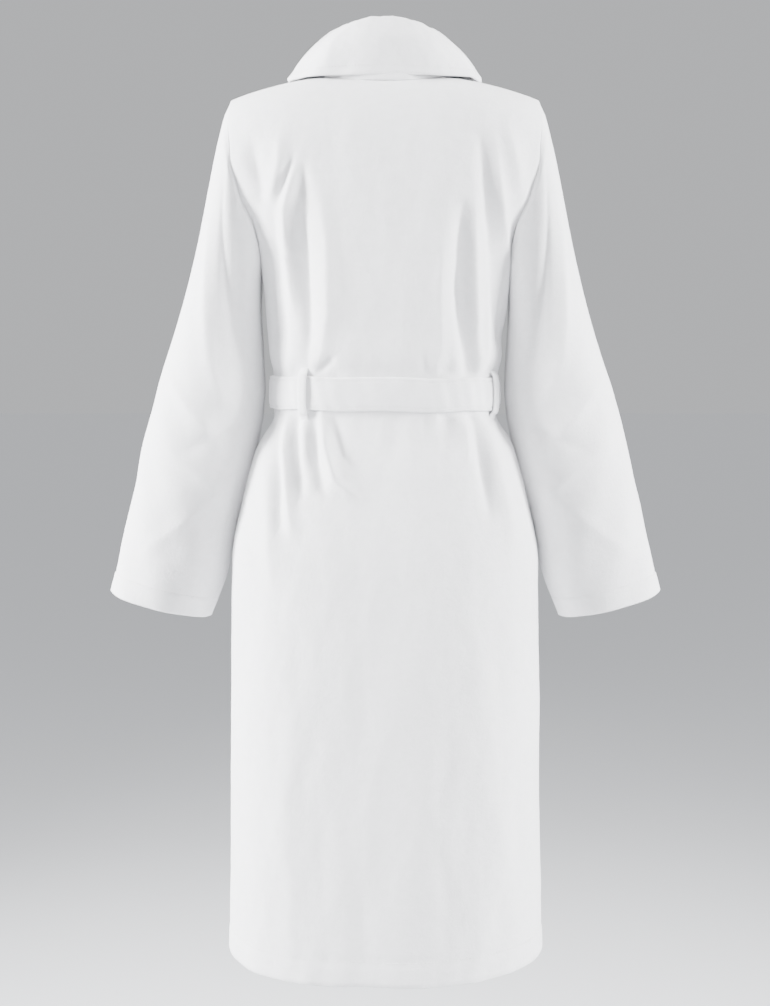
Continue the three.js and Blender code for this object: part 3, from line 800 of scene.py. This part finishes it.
SLEEVE_FOLDS = [  # turn round the sleeve, share of its length, both ends; width; height
    ((0.9, 0.10), (1.9, 0.34), 0.055, 0.0050),
    ((1.3, 0.05), (2.3, 0.26), 0.045, -0.0042),
    ((0.6, 0.30), (2.0, 0.47), 0.050, 0.0035),
    ((2.6, 0.36), (1.4, 0.52), 0.045, -0.0036),
    ((1.1, 0.52), (2.7, 0.66), 0.050, 0.0034),
    ((5.3, 0.10), (4.2, 0.33), 0.055, 0.0048),
    ((4.9, 0.05), (3.9, 0.28), 0.045, -0.0040),
    ((5.6, 0.40), (4.2, 0.55), 0.055, 0.0036),
    ((3.9, 0.48), (5.2, 0.62), 0.045, -0.0036),
    ((2.2, 0.62), (1.0, 0.86), 0.050, 0.0026),
    ((4.2, 0.66), (5.4, 0.88), 0.050, 0.0026),
]


def sleeve_grid(side, rows=190, columns=132):
    along = np.linspace(0, 1, rows)[:, None]
    turn = (np.arange(columns) / columns * 2 * np.pi)[None, :]
    ring, up = armhole(turn, side)
    gone = np.array([side * math.sin(SLEEVE_TILT), 0, -math.cos(SLEEVE_TILT)])
    ring = ring + np.zeros((rows, 1, 3)) + gone * (along * RING_SLIDE)[..., None]
    half = sleeve_half(along)
    x = side * sleeve_centre(along) + side * math.cos(SLEEVE_TILT) * half * np.cos(turn)
    y = -SLEEVE_BEND * along + sleeve_depth(along) * np.sin(turn)
    z = lerp(SLEEVE_TOP_Z, CUFF_Z, along) + math.sin(SLEEVE_TILT) * half * np.cos(turn)
    tube = np.stack(np.broadcast_arrays(x, y, z), axis=-1)
    first = smooth(0, -0.12, 0.3)
    blend = ((smooth(along, -0.12, 0.3) - first) / (1 - first))[..., None]
    flat = lerp(ring, tube, blend)
    normal = outward_normals(flat, from_core, wrap=True)
    lift = np.zeros((rows, columns))
    around, down = turn * SLEEVE_RADIUS + 0 * along, along * SLEEVE_LENGTH + 0 * turn
    for low, high, width, height in SLEEVE_FOLDS:
        path = [(low[0] * SLEEVE_RADIUS, low[1] * SLEEVE_LENGTH),
                (high[0] * SLEEVE_RADIUS, high[1] * SLEEVE_LENGTH)]
        lift += ridge(around, down, path, width * 0.22, height)
    lift += 0.0010 * np.sin(3 * turn + 9 * along + side) * np.sin(14 * along + 1)
    lift += 0.0007 * np.sin(7 * turn - 23 * along) * smooth(along, 0.1, 0.4)
    head = 0.0032 * smooth(along, 0.0, 0.02) * (1 - smooth(along, 0.04, 0.16))
    lift = lift * smooth(along, 0.0, 0.06) + head
    groove = -GROOVE * np.exp(-(((along - CUFF_LINE) / 0.0028) ** 2))
    lift += groove + 0.0008 * smooth(along, CUFF_LINE, CUFF_LINE + 0.008)
    pressed = smooth(-np.cos(turn), 0.6, 1.0) * smooth(along, 0.05, 0.3)
    lift = lift * (1 - 0.7 * pressed)
    return flat + normal * lift[..., None]


def bend_sleeve(piece):
    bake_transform(piece)


for side, name in SIDES:
    grid = sleeve_grid(side)
    body = f"{name}_sleeve_body"
    piece = cloth(f"{name}_sleeve_cloth", grid, CLOTH, VELOUR, from_core, wrap=True)
    bend_sleeve(piece)
    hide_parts(f"{name}_sleeve")
    row = int(grid.shape[0] * CUFF_LINE)
    normal = outward_normals(grid, from_core, wrap=True)
    fold = grid[row:] - normal[row:] * (CLOTH + FOLD_GAP)
    piece = cloth(f"{name}_cuff_fold", fold, CLOTH * FOLD_SHARE, TRIM, from_core, wrap=True)
    keep(piece, body, f"{name}_cuff", slot="trim_cloth")
    line = np.concatenate([grid[row], grid[row][:1]])
    ups = np.concatenate([normal[row], normal[row][:1]])
    stitches(f"{name}_cuff_stitches", [line + ups * STITCH_LIFT], [ups], body)


# ---- belt ----
BELT_SEAM = 0.09  # each row of edge stitches, as a share of the belt's breadth
BELT_SWELL = 0.0014
BELT_LIFT = 0.0052  # off the body, to clear the panels and its own thickness


def belt_ring(turn, lift):
    depth = np.where(np.sin(turn) >= 0, back_depth(BELT_Z), front_depth(BELT_Z)) + lift
    width = half_width(BELT_Z) + lift
    x = width * np.sign(np.cos(turn)) * np.abs(np.cos(turn)) ** (2 / SECTION_POWER)
    y = depth * np.sign(np.sin(turn)) * np.abs(np.sin(turn)) ** (2 / SECTION_POWER)
    return x, y


def belt_profile(share):
    """The belt's edges are double-stitched: a groove inside each, and soft round sides."""
    grooves = sum(np.exp(-(((share - at) / 0.022) ** 2)) for at in (BELT_SEAM, 1 - BELT_SEAM))
    return BELT_SWELL * np.sin(np.pi * share) ** 0.4 - GROOVE * grooves


def belt_grid(rows=30, columns=420):
    share = np.linspace(0, 1, rows)[:, None]
    turn = (np.arange(columns) / columns * 2 * np.pi)[None, :]
    pucker = 0.0007 * np.sin(17 * turn + 0.5) * np.sin(np.pi * share)
    pucker = pucker + 0.0003 * np.sin(41 * turn + 3 * share)
    x, y = belt_ring(turn, BELT_LIFT + belt_profile(share) + pucker)
    sway = 0.0012 * np.sin(2 * turn + 0.7) + 0.0007 * np.sin(9 * turn)
    z = BELT_Z + BELT_HALF * (2 * share - 1) + sway
    return np.stack(np.broadcast_arrays(x, y, z), axis=-1)


belt = belt_grid()
piece = keep(cloth("belt_cloth", belt, DOUBLE, BELT_CLOTH, from_axis, wrap=True), "garment",
             "belt", slot="belt_cloth")


def belt_stitches():
    normal = outward_normals(belt, from_axis, wrap=True)
    rows = [int(belt.shape[0] * BELT_SEAM), int(belt.shape[0] * (1 - BELT_SEAM)) - 1]
    lines = [np.concatenate([belt[row], belt[row][:1]]) for row in rows]
    ups = [np.concatenate([normal[row], normal[row][:1]]) for row in rows]
    lines = [line + up * STITCH_LIFT for line, up in zip(lines, ups)]
    stitches("belt_stitches", lines, ups, "garment", slot="belt_cloth")


belt_stitches()


# ---- ribbons: the knot, the tails and the loops ----
def ribbon(path, breadths, outs, rows=18, swell=BELT_SWELL, flute=None):
    """A stitched strip along path; breadths is its width there and outs the way it faces. flute, if
    given, pleats it: a height at each share across it and along it."""
    path = np.asarray(path, float)
    ahead = np.gradient(path, axis=0)
    ahead /= np.linalg.norm(ahead, axis=1, keepdims=True)
    outs = np.asarray(outs, float)
    outs = outs - ahead * np.sum(outs * ahead, axis=1, keepdims=True)
    outs /= np.linalg.norm(outs, axis=1, keepdims=True)
    side = np.cross(ahead, outs)
    share = np.linspace(0, 1, rows)
    off = (share - 0.5)[:, None] * np.asarray(breadths)[None, :]
    grid = path[None] + side[None] * off[..., None]
    lift = (belt_profile(share) * swell / BELT_SWELL)[:, None] + np.zeros((1, len(path)))
    if flute is not None:
        lift = lift + flute(share[:, None], np.linspace(0, 1, len(path))[None, :])
    return grid + outs[None] * lift[..., None], outs


def ribbon_piece(name, grid, outs, thick, material):
    def outward(sheet):
        return np.broadcast_to(outs[None], sheet.shape)

    return cloth(name, grid, thick, material, outward)


KNOT_LOW, KNOT_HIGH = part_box("belt_knot")
KNOT = (np.array(KNOT_LOW) + np.array(KNOT_HIGH)) / 2
KNOT_HALF = (np.array(KNOT_HIGH) - np.array(KNOT_LOW)) / 2


def spline_path(points, steps=16):
    return catmull(np.array(points, float), steps)


def knot_wrap():
    """The band that crosses over the knot, from above the belt to below it."""
    w, d, h = KNOT_HALF
    path = spline_path([
        (0.004, d * 0.9, h * 0.62), (0.003, d * 0.10, h * 1.02), (0.002, -d * 0.62, h * 0.72),
        (-0.001, -d * 0.95, 0.0), (-0.003, -d * 0.62, -h * 0.72), (-0.004, d * 0.10, -h * 1.00),
        (-0.004, d * 0.9, -h * 0.62)]) + KNOT
    outs = path - (KNOT + np.array([0, d * 0.5, 0]))
    outs[:, 0] = 0
    share = np.linspace(0, 1, len(path))
    breadth = 0.030 + 0.010 * np.sin(np.pi * share)

    def flute(s, a):
        return 0.0012 * np.sin(3.5 * np.pi * s + 0.6) * (0.5 + 0.5 * np.cos(2 * np.pi * a))

    return ribbon(path, breadth, outs, flute=flute)


def knot_cross(side):
    """The belt's end as it dives under the wrap from one side, drawn narrow."""
    w, d, h = KNOT_HALF
    path = spline_path([
        (side * w * 2.6, d * 0.97, side * 0.001), (side * w * 1.7, d * 0.55, side * 0.001),
        (side * w * 1.05, -d * 0.22, side * 0.002), (side * w * 0.45, -d * 0.50, 0.001),
        (0.0, -d * 0.35, 0.0)]) + KNOT
    outs = np.zeros_like(path)
    outs[:, 1] = -1
    outs[:, 0] = side * 0.35
    share = np.linspace(0, 1, len(path))
    breadth = lerp(0.039, 0.026, smooth(share, 0.0, 0.6))

    def flute(s, a):
        return 0.0024 * np.sin(3 * np.pi * s + side) * smooth(a, 0.0, 0.5)

    return ribbon(path, breadth, outs, flute=flute)


def tail_ribbon(side, name):
    """A tail from under the knot, pleated at its top and flat lower down."""
    low, high = (np.array(corner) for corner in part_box(f"{name}_belt_tail"))
    top = np.array(JOINTS[f"{name}_tail_swing"]["pos_m"])
    foot_x = low[0] + 0.019 if side < 0 else high[0] - 0.019
    foot = np.array([foot_x, low[1] + 0.003, low[2] + 0.003])
    share = np.linspace(0, 1, 90)
    hidden = top + np.array([side * -0.004, 0.002, 0.010])
    path = lerp(hidden[None], foot[None], share[:, None])
    path[:, 0] += 0.0035 * np.sin(2.2 * np.pi * share + side) * share * (1 - 0.3 * share)
    path[:, 1] += -0.0018 * np.sin(np.pi * share) + 0.0012 * np.sin(5 * np.pi * share)
    outs = np.zeros_like(path)
    outs[:, 1] = -1
    outs[:, 0] = 0.12 * np.sin(3.1 * np.pi * share + side * 0.8)
    breadth = lerp(0.025, 0.0385, smooth(share, 0.0, 0.22))

    def flute(s, a):
        return 0.0026 * np.sin(3 * np.pi * s + side * 0.7) * (1 - smooth(a, 0.02, 0.40))

    return ribbon(path, breadth, outs, flute=flute)


def lay_ribbon(name, made, body, *nodes, thick=DOUBLE, held="stretched"):
    grid, outs = made
    piece = keep(ribbon_piece(name, grid, outs, thick, BELT_CLOTH), body, *nodes, slot="belt_cloth")
    return grid, outs


lay_ribbon("belt_knot_wrap", knot_wrap(), "garment", "belt_knot", held="folded")
lay_ribbon("belt_knot_left", knot_cross(1), "garment", held="folded")
lay_ribbon("belt_knot_right", knot_cross(-1), "garment", held="folded")
for side, name in SIDES:
    grid, outs = lay_ribbon(f"{name}_belt_tail_cloth", tail_ribbon(side, name), f"{name}_tail",
                            f"{name}_belt_tail", held="hung")
    edge_rows = (2, grid.shape[0] - 3)
    lines = [grid[row][3:-1] + outs[3:-1] * STITCH_LIFT for row in edge_rows]
    stitches(f"{name}_tail_stitches", lines, [outs[3:-1]] * 2, f"{name}_tail", slot="belt_cloth")


LOOP_THICK = 0.0022
LOOP_BREADTH = 0.0105


def belt_loop(name):
    """A narrow carrier sewn to the robe above and below the belt."""
    low, high = (np.array(corner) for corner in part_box(name))
    middle = (low + high) / 2
    out = np.array([middle[0] / half_width(BELT_Z) ** 2, middle[1] / back_depth(BELT_Z) ** 2, 0])
    out /= np.linalg.norm(out)
    foot = middle - out * 0.0058
    half = BELT_HALF + 0.006
    upper = ((0.001, half + 0.007), (0.0035, half + 0.001), (0.0080, half - 0.005))
    keys = [*upper, (0.0096, 0), *((off, -z) for off, z in reversed(upper))]
    path = spline_path([out * off + (0, 0, z) for off, z in keys], 8) + foot
    outs = np.broadcast_to(out, path.shape).copy()
    return ribbon(path, np.full(len(path), LOOP_BREADTH), outs, rows=10, swell=0.0006)


for name in ("left_belt_loop", "right_belt_loop"):
    lay_ribbon(f"{name}_cloth", belt_loop(name), "garment", name, thick=LOOP_THICK)


# ---- pockets ----
def pocket_grid(side, rows=90, columns=64):
    across = np.linspace(0, 1, columns)[None, :]
    up = np.linspace(0, 1, rows)[:, None]
    height = lerp(POCKET_FOOT, POCKET_TOP, up) + 0 * across
    round_off = 0.010 * (1 - np.clip(up / 0.06, 0, 1)) ** 2
    x = side * (POCKET_X + (POCKET_HALF - round_off) * (2 * across - 1))
    puff = 0.0095 * np.sin(np.pi * across) ** 0.8 * smooth(up, 0.0, 1.0)
    lift = CLOTH + 0.0014 + puff + front_relief(side, x, height) * 0.5
    band = POCKET_BAND_FOOT
    lift = lift + 0.0012 * smooth(up, band - 0.004, band + 0.01)
    lift = lift - GROOVE * np.exp(-(((up - band) / 0.010) ** 2))
    rim = np.minimum(np.minimum(across, 1 - across) / 0.05, up / 0.03)
    lift = lift - GROOVE * np.exp(-((rim - 1) ** 2) * 8)
    lift = lift + 0.0005 * np.sin(13 * across + 4 * up) * smooth(up, 0.1, 0.9)
    return front_point(side, x, height, lift)


for side, name in SIDES:
    grid = pocket_grid(side)
    piece = keep(cloth(f"{name}_pocket_cloth", grid, CLOTH * 0.8, VELOUR, from_axis), "garment",
                 f"{name}_pocket", f"{name}_pocket_band")
    normal = outward_normals(grid, from_axis)
    band_row = int(grid.shape[0] * POCKET_BAND_FOOT)
    inset, whole = 3, slice(None)
    rows = ((whole, inset), (whole, grid.shape[1] - 1 - inset), (inset, slice(inset, -inset)),
            (band_row, slice(2, -2)))
    lines = [grid[row] + normal[row] * STITCH_LIFT for row in rows]
    stitches(f"{name}_pocket_stitches", lines, [normal[row] for row in rows], "garment")


# ---- inside the neck ----
for node, material in (("neck_tape", TAPE), ("right_shoulder_tape", TAPE),
                       ("left_shoulder_tape", TAPE), ("care_label", LABEL)):
    materials = frame["nodes"][node].data.materials
    materials.clear()
    materials.append(material)


def hanging_loop():
    low, high = (np.array(corner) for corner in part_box("hanging_loop"))
    middle_y = (low[1] + high[1]) / 2
    half, drop = (high[0] - low[0]) / 2 - 0.003, high[2] - low[2] - 0.003
    turn = np.linspace(math.pi, 2 * math.pi, 60)
    x, z = half * np.cos(turn), high[2] + drop * np.sin(turn)
    path = np.stack([x, np.full(len(turn), middle_y), z], axis=1)
    outs = np.zeros_like(path)
    outs[:, 1] = -1
    return ribbon(path, np.full(len(turn), 0.0058), outs, rows=8, swell=0.0004)


loop_grid, loop_outs = hanging_loop()
keep(ribbon_piece("hanging_loop_tape", loop_grid, loop_outs, 0.0014, TAPE), "loop", "hanging_loop",
     slot="tape")


# ---- camera, light and stage ----
CAMERA_PLACE = (0, 1.95, -0.362)  # behind the robe, level with its waist
CAMERA_LENS = 54.9  # mm, on a sensor 36 mm wide
CAMERA_SENSOR = 36
FRAME_DROP = 0.137  # share of the frame's height by which the robe's middle lies below the horizon
FLOOR_SIZE = 80.0
FLOOR_DROP = 0.60  # the robe is held up, clear of the floor
FLOOR_TONE = (0.75, 0.76, 0.78, 1)
AIR_TONE = (0.64, 0.65, 0.67, 1)
AIR_STRENGTH = 0.90
LAMP_AIM = (0, 0, -0.5)
LAMP_SPREAD = math.radians(110)
COOL, PLAIN = (0.985, 0.99, 1), (1, 1, 1)
LAMPS = [  # name, place, breadth and height, power in watts, tint
    ("left_softbox", (2.3, 0.50, 0.1), (0.6, 2.0), 150, COOL),
    ("right_softbox", (-2.3, 0.75, 0.1), (0.6, 2.0), 100, COOL),
    ("camera_fill", (0.5, 3.2, 0.9), (1.6, 1.6), 26, PLAIN),
    ("front_left_softbox", (2.0, -1.7, 0.3), (0.9, 2.0), 46, PLAIN),
    ("front_right_softbox", (-2.4, -1.2, 0.2), (0.9, 2.0), 30, PLAIN),
    ("top_light", (0, -0.3, 2.4), (1.6, 1.6), 18, PLAIN),
]
OVERHEAD_STRENGTH = 0.50
OVERHEAD_ANGLE = math.radians(60)  # so wide a sun casts no hard shadow


def place_object(name, data, place=(0, 0, 0), heading=None):
    holder = bpy.data.objects.new(name, data)
    holder.location = place
    if heading is not None:
        holder.rotation_euler = heading.to_track_quat("-Z", "Y").to_euler()
    bpy.context.scene.collection.objects.link(holder)
    return holder


def set_camera():
    camera = bpy.data.cameras.new("camera")
    camera.lens = CAMERA_LENS
    camera.sensor_width = CAMERA_SENSOR
    camera.shift_y = -FRAME_DROP
    bpy.context.scene.camera = place_object("camera", camera, CAMERA_PLACE, Vector((0, -1, 0)))


def set_lamps():
    for name, place, size, power, tint in LAMPS:
        light = bpy.data.lights.new(name, "AREA")
        light.shape = "RECTANGLE"
        light.size, light.size_y = size
        light.energy = power
        light.color = tint
        light.spread = LAMP_SPREAD
        place_object(name, light, place, Vector(LAMP_AIM) - Vector(place))
    overhead = bpy.data.lights.new("overhead", "SUN")
    overhead.energy = OVERHEAD_STRENGTH
    overhead.angle = OVERHEAD_ANGLE
    place_object("overhead", overhead)
    world = bpy.data.worlds.new("world")
    world.use_nodes = True
    air = world.node_tree.nodes["Background"]
    air.inputs["Color"].default_value = AIR_TONE
    air.inputs["Strength"].default_value = AIR_STRENGTH
    bpy.context.scene.world = world


def lay_floor():
    bpy.ops.mesh.primitive_plane_add(size=FLOOR_SIZE, location=(0, 0, HEM_Z - FLOOR_DROP))
    floor = bpy.context.object
    floor.name = "studio_floor"
    paint = bpy.data.materials.new("floor_paint")
    paint.use_nodes = True
    shader = paint.node_tree.nodes["Principled BSDF"]
    shader.inputs["Base Color"].default_value = FLOOR_TONE
    shader.inputs["Roughness"].default_value = 0.95
    floor.data.materials.append(paint)


set_camera()
set_lamps()
lay_floor()
